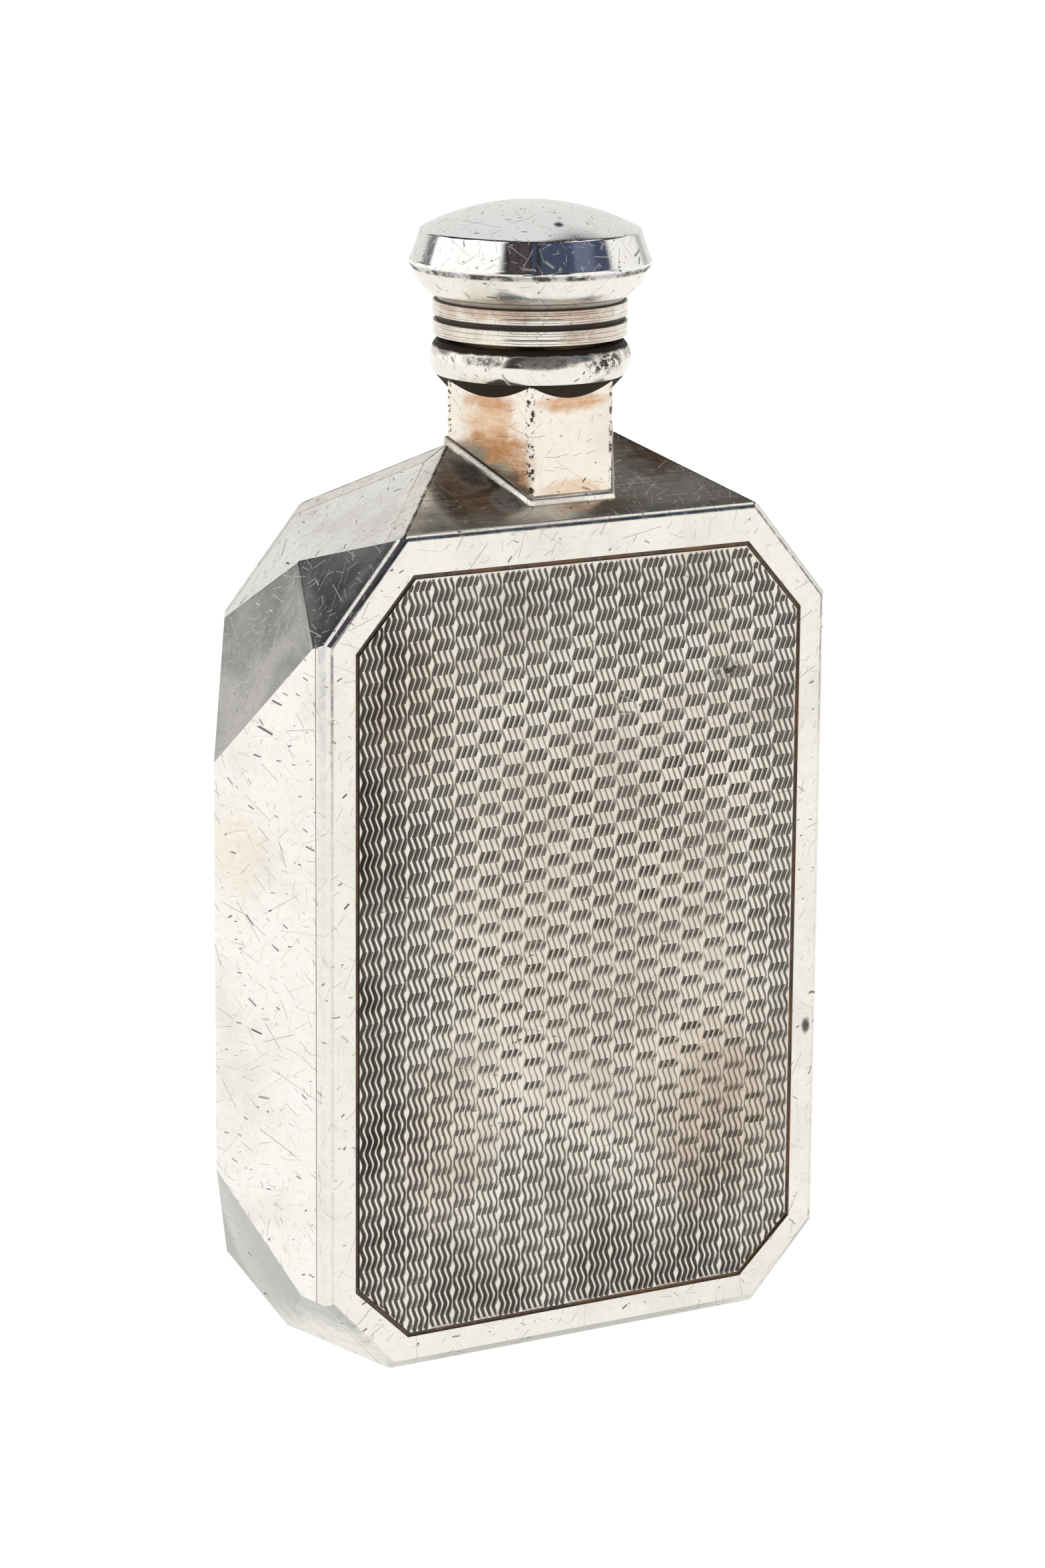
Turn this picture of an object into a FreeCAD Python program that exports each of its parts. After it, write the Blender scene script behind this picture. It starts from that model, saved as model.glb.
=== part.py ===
import FreeCAD, Part
import os
import re

import Sketcher
from FreeCAD import Placement, Rotation, Vector

# A faceted hip flask of soldered sheet, with a hexagonal neck and a screw cap.
# Millimetres, +Z up, origin at the middle of the base, the front face towards -Y.

DIMENSIONS = {
    # faceted body: the corners of one quarter set every flat
    "half_depth": 12.3,
    "face_half_width": 32.2,
    "face_top_half": 23.2,
    "face_bottom_half": 24.0,
    "face_top": 95.5,
    "upper_corner": 84.8,
    "lower_corner": 8.7,
    "ridge_half_width": 40.2,
    "ridge_top": 69.9,
    "ridge_bottom": 22.9,
    "apex_half_width": 29.8,
    "foot_half_width": 31.3,
    "roof_pitch": 0.634,
    "end_pitch": 0.619,
    "foot_pitch": 0.41,
    # sheet and seams
    "wall": 0.9,
    "rim_depth": 1.6,
    "seam_drop": 1.9,
    "rim_radius": 1.2,
    "base_plate_half": 22.6,
    # recess for the engine turned panel
    "panel_half_width": 29.0,
    "panel_top": 91.3,
    "panel_bottom": 3.75,
    "panel_cut_wide": 7.2,
    "panel_cut_high": 8.1,
    "panel_foot_wide": 6.7,
    "panel_foot_high": 6.3,
    "recess_deep": 0.25,
    # neck
    "neck_radius": 10.6,
    "neck_wall": 1.1,
    "hexagon_ratio": 0.8660254,
    "neck_start": 95.0,
    "neck_top": 110.7,
    "neck_hole": 8.0,
    "solder_radius": 0.75,
    "solder_high": 1.8,
    # collar ring
    "collar_foot": 10.8,
    "collar_crest": 10.5,
    "collar_mouth": 9.9,
    "collar_bore": 9.3,
    "collar_top": 114.5,
    "collar_bulge": 3.0,
    # spout and its thread
    "spout_bore": 7.0,
    "spout_radius": 8.0,
    "spout_foot": 105.5,
    "spout_sleeve": 8.1,
    "flange_radius": 9.2,
    "flange_thick": 1.1,
    "spout_top": 121.8,
    "lip_cut": 0.35,
    "thread_start": 115.0,
    "thread_pitch": 1.8,
    "thread_high": 5.4,
    "thread_deep": 0.65,
    "thread_root": 0.95,
    "thread_crest": 0.45,
    "thread_sink": 0.1,
    "thread_gap": 0.15,
    # cap, a little way off its seat
    "cap_radius": 13.65,
    "rim_top": 123.7,
    "rim_low": 122.9,
    "rim_bulge": 0.8,
    "dome_radius": 12.5,
    "dome_edge": 126.85,
    "cap_top": 130.0,
    "crown_wall": 0.8,
    "bowl_radius": 13.4,
    "bowl_foot": 119.6,
    "bowl_foot_radius": 11.15,
    "bowl_bulge": 5.3,
    "bowl_wall": 0.75,
    "skirt_radius": 10.95,
    "skirt_bottom": 115.05,
    "skirt_top": 122.2,
    "groove_deep": 0.4,
    "groove_low": 116.7,
    "groove_wide": 0.65,
    "groove_high": 118.95,
    "sleeve_radius": 9.5,
    "sleeve_bottom": 115.25,
    "sleeve_top": 126.2,
    "sleeve_ceiling": 125.55,
    # liner that rides up and down with the cap
    "liner_pocket": 8.95,
    "pocket_low": 121.9,
    "cork_radius": 8.2,
    "cork_bottom": 122.35,
    "cork_thick": 2.4,
    "disc_radius": 8.7,
    "disc_thick": 0.6,
}

# how far a cutting outline stands outside what it trims
MARGIN = 8

doc = FreeCAD.newDocument("hip_flask")
sheet = doc.addObject("Spreadsheet::Sheet", "dims")
for row, (alias, number) in enumerate(DIMENSIONS.items(), start=1):
    sheet.set(f"A{row}", alias)
    sheet.set(f"B{row}", str(number))
    sheet.setAlias(f"B{row}", alias)
doc.recompute()


# formulas are written with the sheet's own names, such as "face_top - 2*wall"


def amount(formula):
    """The value of a formula."""
    return float(sheet.evalExpression(str(formula)))


def bound(formula):
    """The same formula as other objects of the document read it."""
    return re.sub(r"[a-z_]+", r"dims.\g<0>", str(formula))


def both_sides(points):
    """Points of the right side going up, then the left side going down."""
    return points + [(f"-({across})", up) for across, up in reversed(points)]


def bind(thing, formulas):
    for name, formula in formulas.items():
        thing.setExpression(name, bound(formula))


# sketches


def hold(sketch, line, end, point):
    """Ties one end of a line to the place that its two formulas give."""
    for kind, axis, formula in (("DistanceX", -2, point[0]), ("DistanceY", -1, point[1])):
        size = amount(formula)
        if abs(size) < 1e-9:
            sketch.addConstraint(Sketcher.Constraint("PointOnObject", line, end, axis))
            continue
        places = (-1, 1, line, end) if size > 0 else (line, end, -1, 1)
        index = sketch.addConstraint(Sketcher.Constraint(kind, *places, abs(size)))
        signed = formula if size > 0 else f"-({formula})"
        sketch.setExpression(f"Constraints[{index}]", bound(signed))


def edge_between(start, finish, bulge):
    """A straight edge, or an arc of a radius that swells to the right (1) or left (-1)."""
    if bulge is None:
        return Part.LineSegment(start, finish)
    radius = amount(bulge[0])
    chord = finish - start
    rise = radius - (radius**2 - chord.Length**2 / 4) ** 0.5
    middle = (start + finish) / 2 + Vector(chord.y, -chord.x, 0).normalize() * (bulge[1] * rise)
    # sketched arcs run anticlockwise
    return Part.Arc(start, middle, finish) if bulge[1] > 0 else Part.Arc(finish, middle, start)


def draw(sketch, points, bulges=None):
    """Adds a closed outline whose corners are held by formulas."""
    bulges = bulges or {}
    places = [Vector(amount(across), amount(up), 0) for across, up in points]
    count = len(places)
    first = len(sketch.Geometry)
    for i in range(count):
        edge = edge_between(places[i], places[(i + 1) % count], bulges.get(i))
        sketch.addGeometry(edge)

    def end_at(i, place):
        edge = sketch.Geometry[first + i]
        gaps = [(edge.StartPoint - place).Length, (edge.EndPoint - place).Length]
        return 1 + gaps.index(min(gaps))

    for i in range(count):
        before = (i - 1) % count
        near = end_at(i, places[i])
        far = end_at(before, places[i])
        sketch.addConstraint(Sketcher.Constraint("Coincident", first + before, far, first + i, near))
        hold(sketch, first + i, near, points[i])
    for i, (radius, side) in bulges.items():
        size = Sketcher.Constraint("Radius", first + i, amount(radius))
        index = sketch.addConstraint(size)
        sketch.setExpression(f"Constraints[{index}]", bound(radius))


def sketch_on(body, role, name, outlines, bulges=None, height=None):
    """A sketch of closed outlines on an origin plane, or at a height above it."""
    sketch = body.newObject("Sketcher::SketchObject", name)
    plane = next(f for f in body.Origin.OriginFeatures if f.Role == role)
    sketch.AttachmentSupport = [(plane, "")]
    sketch.MapMode = "FlatFace"
    if height:
        bind(sketch, {"AttachmentOffset.Base.z": height})
    for points in outlines:
        draw(sketch, points, bulges)
    doc.recompute()
    return sketch


# features


def new_body(label):
    body = doc.addObject("PartDesign::Body", label)
    body.Label = label
    return body


def feature(body, kind, name, sketch, settings, formulas=None):
    made = body.newObject(kind, name)
    made.Profile = sketch
    for key, setting in settings.items():
        setattr(made, key, setting)
    bind(made, formulas or {})
    return made


def expect_less(body, before, name):
    """Recomputes after a cut, and stops if the cut missed the solid."""
    doc.recompute()
    if body.Shape.Volume > before - 0.01:
        raise RuntimeError(f"{name} removed nothing")


def turned(label, points, bulges=None):
    """A body turned about Z from its half section, radius first and height second."""
    body = new_body(label)
    section = sketch_on(body, "XZ_Plane", f"{label}_section", [points], bulges)
    around = {"ReferenceAxis": (section, ["V_Axis"]), "Angle": 360}
    feature(body, "PartDesign::Revolution", f"{label}_turn", section, around)
    doc.recompute()
    return body


def prism(label, outlines, low, high):
    """A body that stands on its outlines from one height to another."""
    body = new_body(label)
    plan = sketch_on(body, "XY_Plane", f"{label}_plan", outlines, height=low)
    feature(body, "PartDesign::Pad", f"{label}_pad", plan, {}, {"Length": f"{high} - {low}"})
    doc.recompute()
    return body


def cut(label, base, tool):
    made = doc.addObject("Part::Cut", label)
    made.Base = base
    made.Tool = tool
    doc.recompute()
    return made


def common(label, *shapes):
    made = doc.addObject("Part::MultiCommon", label)
    made.Shapes = list(shapes)
    doc.recompute()
    return made


def block(label, low, high):
    """A box from its low corner to its high corner, each three formulas."""
    made = doc.addObject("Part::Box", label)
    for size, a, b in zip(("Length", "Width", "Height"), low, high):
        bind(made, {size: f"({b}) - ({a})"})
    for axis, a in zip("xyz", low):
        bind(made, {f"Placement.Base.{axis}": a})
    doc.recompute()
    return made


def cylinder(label, radius, low, high):
    made = doc.addObject("Part::Cylinder", label)
    bind(made, {"Radius": radius, "Height": f"{high} - {low}", "Placement.Base.z": low})
    doc.recompute()
    return made


# faceted body


def cut_corner(body, name, first, second, run, depth):
    """Cuts the flat that holds two corners of the front face and runs back along run."""
    start = (f"2*{first[0]} - {second[0]}", f"2*{first[1]} - {second[1]}")
    finish = (f"2*{second[0]} - {first[0]}", f"2*{second[1]} - {first[1]}")
    outside = (finish[0], start[1])
    outline = [start, finish, outside]
    triangle = sketch_on(body, "XZ_Plane", f"{name}_outline", [outline], height=depth)
    way = {
        "UseCustomVector": True,
        "Direction": Vector(*(amount(formula) for formula in run)),
        "AlongSketchNormal": True,
    }
    before = body.Shape.Volume
    pocket = feature(body, "PartDesign::Pocket", name, triangle, way, {"Length": "1.5*half_depth"})
    expect_less(body, before, name)
    return pocket


def gem(label, inset):
    """The faceted body as one solid, with every flat moved in by inset.

    Each share is how far that corner moves for a unit of inset, from the lean of
    the flats that meet in it.
    """

    def moved(name, share):
        return f"({name} - {share}*{inset})"

    depth = moved("half_depth", 1)
    face_half = moved("face_half_width", 0.54)
    top_half = moved("face_top_half", 0.8)
    foot_half = moved("face_bottom_half", 0.15)
    top = moved("face_top", 0.55)
    high_corner = moved("upper_corner", 0.63)
    low_corner = f"(lower_corner + 0.55*{inset})"
    ridge_half = moved("ridge_half_width", 1.19)
    ridge_high = f"(ridge_top + 0.17*{inset})"
    ridge_low = moved("ridge_bottom", 0.22)
    apex_half = moved("apex_half_width", 0.75)
    toe_half = moved("foot_half_width", 0.77)
    apex = f"({top} - end_pitch*({apex_half} - {top_half}))"
    toe = f"({inset} + foot_pitch*({toe_half} - {foot_half}))"
    roof = f"({top} + roof_pitch*{depth})"
    roof_end = f"({top_half} - roof_pitch*{depth}/end_pitch)"

    body = new_body(label)
    front = both_sides([
        (foot_half, inset),
        (toe_half, toe),
        (ridge_half, ridge_low),
        (ridge_half, ridge_high),
        (apex_half, apex),
        (roof_end, roof),
    ])
    sketch = sketch_on(body, "XZ_Plane", f"{label}_front", [front])
    feature(body, "PartDesign::Pad", f"{label}_blank", sketch, {"Midplane": True}, {"Length": f"2*{depth}"})
    doc.recompute()

    # side flats meet in a ridge half way through the depth
    far_half = f"(2*{face_half} - {ridge_half})"
    hexagon = both_sides([(far_half, f"-2*{depth}"), (ridge_half, "0"), (far_half, f"2*{depth}")])
    wide = f"({ridge_half} + {MARGIN})"
    deep = f"(2*{depth} + {MARGIN})"
    around = both_sides([(wide, f"-{deep}"), (wide, deep)])
    sketch = sketch_on(body, "XY_Plane", f"{label}_plan", [hexagon, around])
    through = {"Type": "ThroughAll", "Reversed": True}
    before = body.Shape.Volume
    feature(body, "PartDesign::Pocket", f"{label}_side_flats", sketch, through)
    expect_less(body, before, f"{label}_side_flats")

    # roof slopes front and back
    eave = f"({top} - roof_pitch*{depth})"
    gable = [(f"-2*{depth}", f"-{MARGIN}"), (f"2*{depth}", f"-{MARGIN}"),
             (f"2*{depth}", eave), ("0", roof), (f"-2*{depth}", eave)]
    tall = f"({roof} + {MARGIN})"
    around = both_sides([(deep, f"-2*{MARGIN}"), (deep, tall)])
    sketch = sketch_on(body, "YZ_Plane", f"{label}_gable", [gable, around])
    through = {"Type": "ThroughAll", "Midplane": True}
    before = body.Shape.Volume
    feature(body, "PartDesign::Pocket", f"{label}_roof", sketch, through)
    expect_less(body, before, f"{label}_roof")

    # small flats across the corners of the face, the same on all four quarters
    corners = [
        cut_corner(body, f"{label}_high_corner", (top_half, top), (face_half, high_corner),
                   (f"{apex_half} - {top_half}", depth, f"{apex} - {top}"), depth),
        cut_corner(body, f"{label}_low_corner", (foot_half, inset), (face_half, low_corner),
                   (f"{toe_half} - {foot_half}", depth, f"{toe} - {inset}"), depth),
    ]
    quarters = body.newObject("PartDesign::MultiTransform", f"{label}_corners")
    quarters.Originals = corners
    mirrors = []
    for role in ("YZ_Plane", "XZ_Plane"):
        mirror = body.newObject("PartDesign::Mirrored", f"{label}_mirror_{role[:2].lower()}")
        plane = next(f for f in body.Origin.OriginFeatures if f.Role == role)
        mirror.MirrorPlane = (plane, [""])
        mirrors.append(mirror)
    quarters.Transformations = mirrors
    body.Tip = quarters
    doc.recompute()
    return body


def rounded_rims(label, body):
    """The body with the edges of its front and back faces rounded."""
    face = amount("half_depth")
    radius = amount("rim_radius")
    rounded = doc.addObject("Part::Fillet", label)
    rounded.Base = body
    rounded.Edges = [
        (number, radius, radius)
        for number, edge in enumerate(body.Shape.Edges, start=1)
        if all(abs(abs(corner.Y) - face) < 1e-3 for corner in edge.Vertexes)
    ]
    expect_less(rounded, body.Shape.Volume, label)
    return rounded


form = rounded_rims("rounded_form", gem("flask_form", "0"))
cavity = gem("flask_cavity", "wall")
closed_shell = cut("closed_shell", form, cavity)
neck_hole = cylinder("neck_hole", "neck_hole", "neck_start", "neck_top")
shell = cut("open_shell", closed_shell, neck_hole)

# the strips fill the space between the pressings' rims, under a seam along the roof
strip_half = "(half_depth - rim_depth)"
strip_eave = "(face_top + roof_pitch*rim_depth - seam_drop)"
strip_ridge = "(face_top + roof_pitch*half_depth - seam_drop)"
strip_space = new_body("strip_space")
strip_end = [(strip_half, f"-{MARGIN}"), (strip_half, strip_eave), ("0", strip_ridge),
             (f"-{strip_half}", strip_eave), (f"-{strip_half}", f"-{MARGIN}")]
strip_sketch = sketch_on(strip_space, "YZ_Plane", "strip_end", [strip_end])
feature(strip_space, "PartDesign::Pad", "strip_length", strip_sketch,
        {"Midplane": True}, {"Length": f"2*(ridge_half_width + {MARGIN})"})
doc.recompute()

pressed_sheet = cut("pressed_sheet", shell, strip_space)
strip_sheet = common("strip_sheet", shell, strip_space)


# the engine turned panel lies in a shallow eight sided recess of each face
recess_outline = both_sides([
    ("panel_half_width - panel_foot_wide", "panel_bottom"),
    ("panel_half_width", "panel_bottom + panel_foot_high"),
    ("panel_half_width", "panel_top - panel_cut_high"),
    ("panel_half_width - panel_cut_wide", "panel_top"),
])
recess_bar = new_body("recess_bar")
recess_sketch = sketch_on(recess_bar, "XZ_Plane", "recess_outline", [recess_outline])
feature(recess_bar, "PartDesign::Pad", "recess_through", recess_sketch,
        {"Midplane": True}, {"Length": "3*half_depth"})
doc.recompute()
recess_floor = block("recess_floor",
                     ("-ridge_half_width", "recess_deep - half_depth", "0"),
                     ("ridge_half_width", "half_depth - recess_deep", "neck_top"))
recesses = cut("recesses", recess_bar, recess_floor)

far = f"(ridge_half_width + {MARGIN})"


def half_space(label, low, high):
    """Everything between two across or depth limits, with the full height."""
    return block(label, (low[0], low[1], f"-{MARGIN}"), (high[0], high[1], "cap_top"))


def pressing(label, low, high):
    """One face with its rim, its recess and half of the roof."""
    half = common(f"{label}_blank", pressed_sheet, half_space(f"{label}_side", low, high))
    return cut(label, half, recesses)


front_pressing = pressing("front_pressing", (f"-{far}", f"-{far}"), (far, "0"))
back_pressing = pressing("back_pressing", (f"-{far}", "0"), (far, far))

base_space = block("base_space",
                   ("-base_plate_half", "-half_depth", f"-{MARGIN}"),
                   ("base_plate_half", "half_depth", "2*wall"))
base_plate = common("base_plate", strip_sheet, base_space)
strips = cut("side_strips", strip_sheet, base_space)
left_side_strip = common("left_side_strip", strips,
                         half_space("left_side", (f"-{far}", f"-{far}"), ("0", far)))
right_side_strip = common("right_side_strip", strips,
                          half_space("right_side", ("0", f"-{far}"), (far, far)))

# neck


def hexagon_points(radius):
    """A hexagon with two corners on X."""
    high = f"{radius}*hexagon_ratio"
    return [(radius, "0"), (f"{radius}/2", high), (f"-{radius}/2", high),
            (f"-{radius}", "0"), (f"-{radius}/2", f"-{high}"), (f"{radius}/2", f"-{high}")]


neck_outside = hexagon_points("neck_radius")
neck_inside = hexagon_points("(neck_radius - neck_wall)")
neck_tube = prism("neck_tube", [neck_outside, neck_inside], "neck_start", "neck_top")
neck_core = prism("neck_core", [neck_outside], "neck_start", "neck_top")
hex_neck = cut("hex_neck", neck_tube, form)

# a bead of solder follows the neck's foot over the roof slopes
foot_path = doc.addObject("Part::Polygon", "neck_foot_path")
foot_path.Nodes = [
    Vector(amount(across), amount(deep),
           amount(f"face_top + roof_pitch*(half_depth - abs({deep}))"))
    for across, deep in neck_outside
]
foot_path.Close = True
doc.recompute()
bead_section = doc.addObject("Part::Circle", "bead_section")
bind(bead_section, {"Radius": "solder_radius"})
bead_start = foot_path.Nodes[0]
bead_way = foot_path.Nodes[1] - bead_start
bead_section.Placement = Placement(bead_start, Rotation(Vector(0, 0, 1), bead_way))
bead = doc.addObject("Part::Sweep", "solder_bead")
bead.Sections = [bead_section]
bead.Spine = (foot_path, [f"Edge{side}" for side in range(1, 7)])
bead.Solid = True
bead.Transition = "Right corner"
doc.recompute()
neck_solder = cut("neck_solder", cut("bead_outside_neck", bead, neck_core), form)

# crescents of solder fill the neck's flats up to the round collar
solder_cone = doc.addObject("Part::Cone", "solder_cone")
bind(solder_cone, {
    "Radius1": "neck_radius*hexagon_ratio",
    "Radius2": "collar_foot",
    "Height": "solder_high",
    "Placement.Base.z": "neck_top - solder_high",
})
doc.recompute()
collar_solder = cut("collar_solder", solder_cone, neck_core)

collar_ring = turned(
    "collar_ring",
    [
        ("collar_bore", "neck_top"),
        ("collar_foot", "neck_top"),
        ("collar_crest", "collar_top"),
        ("collar_mouth", "collar_top"),
        ("collar_bore", "collar_top - (collar_mouth - collar_bore)"),
    ],
    {1: ("collar_bulge", 1)},
)

# spout


def thread_profile(inner, outer, height, gap):
    """The thread's section at a height, widened all round by a gap."""
    root = f"(thread_root/2 + {gap})"
    crest = f"(thread_crest/2 + {gap})"
    return [(inner, f"{height} - {root}"), (outer, f"{height} - {crest}"),
            (outer, f"{height} + {crest}"), (inner, f"{height} + {root}")]


def helix(body, kind, name, profile, height):
    """A thread round Z, one pitch up for each turn to the left seen from above."""
    section = sketch_on(body, "XZ_Plane", f"{name}_section", [profile])
    along = {"ReferenceAxis": (section, ["V_Axis"]), "Mode": 0, "LeftHanded": False}
    feature(body, kind, name, section, along, {"Pitch": "thread_pitch", "Height": height})
    doc.recompute()


threaded_spout = turned(
    "threaded_spout",
    [
        ("spout_bore", "spout_foot"),
        ("spout_sleeve", "spout_foot"),
        ("spout_sleeve", "neck_top"),
        ("flange_radius", "neck_top"),
        ("flange_radius", "neck_top + flange_thick"),
        ("spout_radius", "neck_top + flange_thick"),
        ("spout_radius", "spout_top - lip_cut"),
        ("spout_radius - lip_cut", "spout_top"),
        ("spout_bore", "spout_top"),
    ],
)
male_profile = thread_profile("spout_radius - thread_sink", "spout_radius + thread_deep", "thread_start", "0")
helix(threaded_spout, "PartDesign::AdditiveHelix", "spout_thread", male_profile, "thread_high")

# cap


def dome_curve(radius, rise):
    """The radius of a dome centred on Z, from its edge radius and its rise."""
    return f"({radius}*{radius} + {rise}*{rise})/(2*{rise})"


crown_inside = "(dome_radius - crown_wall)"
cap_crown = turned(
    "cap_crown",
    [
        ("0", "cap_top"),
        ("dome_radius", "dome_edge"),
        ("cap_radius", "rim_top"),
        ("cap_radius", "rim_low"),
        ("cap_radius - crown_wall", "rim_low"),
        ("cap_radius - crown_wall", "rim_top"),
        (crown_inside, "dome_edge - crown_wall/2"),
        ("0", "cap_top - crown_wall"),
    ],
    {
        0: (dome_curve("dome_radius", "(cap_top - dome_edge)"), -1),
        2: ("rim_bulge", -1),
        6: (dome_curve(crown_inside, "(cap_top - dome_edge - crown_wall/2)"), 1),
    },
)

cap_underside = turned(
    "cap_underside",
    [
        ("bowl_radius", "rim_low"),
        ("bowl_foot_radius", "bowl_foot"),
        ("skirt_radius", "bowl_foot"),
        ("skirt_radius", "bowl_foot + bowl_wall"),
        ("bowl_radius - bowl_wall", "rim_low"),
    ],
    {0: ("bowl_bulge", -1), 3: ("bowl_bulge - bowl_wall", 1)},
)

groove_floor = "skirt_radius - groove_deep"
cap_skirt = turned(
    "cap_skirt",
    [
        ("sleeve_radius", "skirt_bottom"),
        ("skirt_radius", "skirt_bottom"),
        ("skirt_radius", "groove_low"),
        (groove_floor, "groove_low"),
        (groove_floor, "groove_low + groove_wide"),
        ("skirt_radius", "groove_low + groove_wide"),
        ("skirt_radius", "groove_high"),
        (groove_floor, "groove_high"),
        (groove_floor, "groove_high + groove_wide"),
        ("skirt_radius", "groove_high + groove_wide"),
        ("skirt_radius", "skirt_top"),
        ("sleeve_radius", "skirt_top"),
    ],
)

sleeve_crest = "(spout_radius + thread_gap)"
cap_thread_sleeve = turned(
    "cap_thread_sleeve",
    [
        (sleeve_crest, "sleeve_bottom"),
        ("sleeve_radius", "sleeve_bottom"),
        ("sleeve_radius", "sleeve_top"),
        ("0", "sleeve_top"),
        ("0", "sleeve_ceiling"),
        ("liner_pocket", "sleeve_ceiling"),
        ("liner_pocket", "pocket_low"),
        (sleeve_crest, "pocket_low"),
    ],
)
female_profile = thread_profile(
    f"{sleeve_crest} - 2*thread_sink",
    "spout_radius + thread_deep + thread_gap",
    "(thread_start - thread_pitch)",
    "thread_gap",
)
sleeve_before = cap_thread_sleeve.Shape.Volume
helix(cap_thread_sleeve, "PartDesign::SubtractiveHelix", "sleeve_thread", female_profile, "5*thread_pitch")
expect_less(cap_thread_sleeve, sleeve_before, "sleeve_thread")

cork_liner = cylinder("cork_liner", "cork_radius", "cork_bottom", "(cork_bottom + cork_thick)")
liner_disc = cylinder("liner_disc", "disc_radius", "(cork_bottom + cork_thick)",
                      "(cork_bottom + cork_thick + disc_thick)")

PIECES = [
    front_pressing, back_pressing, left_side_strip, right_side_strip, base_plate,
    hex_neck, neck_solder, collar_solder, collar_ring, threaded_spout,
    cap_crown, cap_underside, cap_skirt, cap_thread_sleeve, cork_liner, liner_disc,
]

for thing in doc.Objects:
    if {"Invalid", "Error"} & set(thing.State):
        raise RuntimeError(f"{thing.Label} did not compute: {thing.State}")
for piece in PIECES:
    if piece.Shape.isNull() or not piece.Shape.isValid():
        raise RuntimeError(f"{piece.Label} has no valid shape")

os.makedirs("parts", exist_ok=True)
for piece in PIECES:
    piece.Shape.exportStep(f"parts/{piece.Label}.step")
    print(f"{piece.Label}: {len(piece.Shape.Solids)} solid, {piece.Shape.Volume:.1f} cubic mm")
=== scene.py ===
import math

import bmesh
import bpy
import numpy as np
from mathutils import Matrix, Vector


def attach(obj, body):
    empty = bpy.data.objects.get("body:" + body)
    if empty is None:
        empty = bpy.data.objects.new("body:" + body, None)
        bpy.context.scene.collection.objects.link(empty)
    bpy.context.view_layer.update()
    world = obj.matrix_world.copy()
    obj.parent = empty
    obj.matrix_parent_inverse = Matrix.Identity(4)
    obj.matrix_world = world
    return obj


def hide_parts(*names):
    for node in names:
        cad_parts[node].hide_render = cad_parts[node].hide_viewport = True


# A faceted hip flask in worn silver plate. Sizes are in millimetres until they reach a mesh.

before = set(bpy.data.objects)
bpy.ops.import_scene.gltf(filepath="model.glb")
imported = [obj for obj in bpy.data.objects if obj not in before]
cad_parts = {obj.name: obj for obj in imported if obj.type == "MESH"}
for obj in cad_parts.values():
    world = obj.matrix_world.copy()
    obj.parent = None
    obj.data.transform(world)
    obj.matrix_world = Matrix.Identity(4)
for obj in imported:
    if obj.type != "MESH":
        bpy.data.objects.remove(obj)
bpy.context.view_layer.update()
MM = 0.001


# node graphs


class Graph:
    """Short names for the nodes of one material or world."""

    def __init__(self, owner):
        owner.use_nodes = True
        self.tree = owner.node_tree
        self.tree.nodes.clear()

    def node(self, kind, inputs=None, **settings):
        made = self.tree.nodes.new(kind)
        for key, value in settings.items():
            setattr(made, key, value)
        for key, value in (inputs or {}).items():
            self.put(made.inputs[key], value)
        return made

    def put(self, socket, value):
        if isinstance(value, bpy.types.NodeSocket):
            self.tree.links.new(value, socket)
        elif socket.type == "RGBA" and len(value) == 3:
            socket.default_value = (*value, 1)
        else:
            socket.default_value = value

    def math(self, operation, a, b=0.0, clamp=False):
        return self.node("ShaderNodeMath", {0: a, 1: b}, operation=operation, use_clamp=clamp).outputs[0]

    def vector(self, operation, a, b=(0, 0, 0)):
        made = self.node("ShaderNodeVectorMath", {0: a, 1: b}, operation=operation)
        return made.outputs[1 if operation in ("DOT_PRODUCT", "LENGTH") else 0]

    def scaled(self, vector, by):
        made = self.node("ShaderNodeVectorMath", {0: vector}, operation="SCALE")
        self.put(made.inputs[3], by)
        return made.outputs[0]

    def step(self, value, low, high, to_low=0.0, to_high=1.0):
        """A smooth step between two values."""
        made = self.node(
            "ShaderNodeMapRange",
            {0: value, 1: low, 2: high, 3: to_low, 4: to_high},
            interpolation_type="SMOOTHSTEP",
        )
        return made.outputs[0]

    def mix(self, factor, a, b):
        made = self.node("ShaderNodeMix", data_type="RGBA", blend_type="MIX")
        self.put(made.inputs[0], factor)
        self.put(made.inputs[6], a)
        self.put(made.inputs[7], b)
        return made.outputs[2]

    def noise(self, vector, scale, detail=3.0, rough=0.55, distortion=0.0):
        made = self.node(
            "ShaderNodeTexNoise",
            {
                "Vector": vector,
                "Scale": scale,
                "Detail": detail,
                "Roughness": rough,
                "Distortion": distortion,
            },
        )
        return made.outputs[0]

    def parts(self, vector):
        return self.node("ShaderNodeSeparateXYZ", {0: vector}).outputs


def largest(g, values):
    result = values[0]
    for value in values[1:]:
        result = g.math("MAXIMUM", result, value)
    return result


def place(g):
    """The point on the piece, in millimetres of the shared frame."""
    return g.scaled(g.node("ShaderNodeTexCoord").outputs["Object"], 1000.0)


def spot(g, point, centre, size, hard=0.35):
    """1 at a centre, falling to 0 at an ellipsoid's edge, with a ragged outline."""
    away = g.vector("DIVIDE", g.vector("SUBTRACT", point, centre), size)
    ragged = g.math("MULTIPLY", g.math("SUBTRACT", g.noise(point, 0.55, 4), 0.5), 0.9)
    reach = g.math("ADD", g.vector("LENGTH", away), ragged)
    return g.step(reach, hard, 1.0, 1.0, 0.0)


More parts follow.
